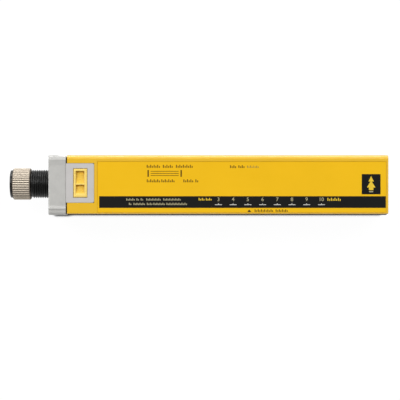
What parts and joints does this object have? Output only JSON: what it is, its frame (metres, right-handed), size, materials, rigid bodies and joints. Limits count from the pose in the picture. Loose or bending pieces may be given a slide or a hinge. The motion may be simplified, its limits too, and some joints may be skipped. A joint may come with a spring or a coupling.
{
  "type": "safety light curtain",
  "caption": "Square-section light curtain unit: yellow case with a dark window, side label, grey end cap and a round connector with a turning knurled ring.",
  "frame": {"origin": "middle of the bounding box's bottom face, on the plain side that the unit lies on", "axes": "+X along the case, away from the connector; +Y towards the back with the nut slot, so the window looks along -Y; +Z out of the label side"},
  "size_m": [0.1906, 0.03, 0.03],
  "materials": {
    "housing_paint": "satin yellow paint on extruded aluminium",
    "plate_paint": "satin yellow paint on a flat plate",
    "label_film": "printed film, satin",
    "cap_paint": "fine grey paint on a die casting",
    "frame_plastic": "matt light grey moulding",
    "cover_plastic": "matt yellow moulding",
    "black_rubber": "matt black rubber",
    "screw_steel": "zinc plated steel",
    "black_plastic": "matt black moulding",
    "contact_metal": "gold plated contacts",
    "board_green": "green lacquered circuit board",
    "window_smoke": "dark smoked acrylic, polished",
    "clear_lens": "clear moulded plastic",
    "diode_resin": "dark clear resin",
    "lamp_resin": "milky resin",
    "sheet_film": "thin polyester sheet",
    "chip_resin": "black moulding compound",
    "flex_film": "amber film",
    "connector_black": "satin black moulding",
    "insert_plastic": "matt black moulding",
    "ring_nickel": "nickel plated brass, turned and knurled"
  },
  "bodies": {
    "unit": {"housing": "housing_paint", "side_label": "label_film", "end_cap": "cap_paint", "end_cap_gasket": "black_rubber", "end_cap_screws": "screw_steel", "port_frame": "frame_plastic", "port_cover": "cover_plastic", "port_socket": "black_plastic", "port_contacts": "contact_metal", "port_board": "board_green", "front_window": "window_smoke", "window_seals": "black_rubber", "optics_carrier": "black_plastic", "lens_strip": "clear_lens", "emitter_board": "board_green", "infrared_diodes": "diode_resin", "indicator_lamps": "lamp_resin", "light_guide": "clear_lens", "control_board": "board_green", "insulating_sheet": "sheet_film", "board_headers": "black_plastic", "board_parts": "chip_resin", "flex_cable": "flex_film", "connector_barrel": "connector_black", "connector_nose": "connector_black", "connector_insert": "insert_plastic", "contact_pins": "contact_metal", "barrel_seal": "black_rubber", "barrel_nut": "screw_steel", "connector_board": "board_green", "end_plate": "plate_paint", "end_plate_gasket": "black_rubber", "end_plate_screws": "screw_steel"},
    "ring": {"coupling_ring": "ring_nickel"}
  },
  "joints": [
    {"name": "ring_turn", "type": "hinge", "parent": "unit", "child": "ring", "pos_m": [-0.08947, 0.00065, 0.015], "axis": [1, 0, 0], "continuous": true}
  ]
}
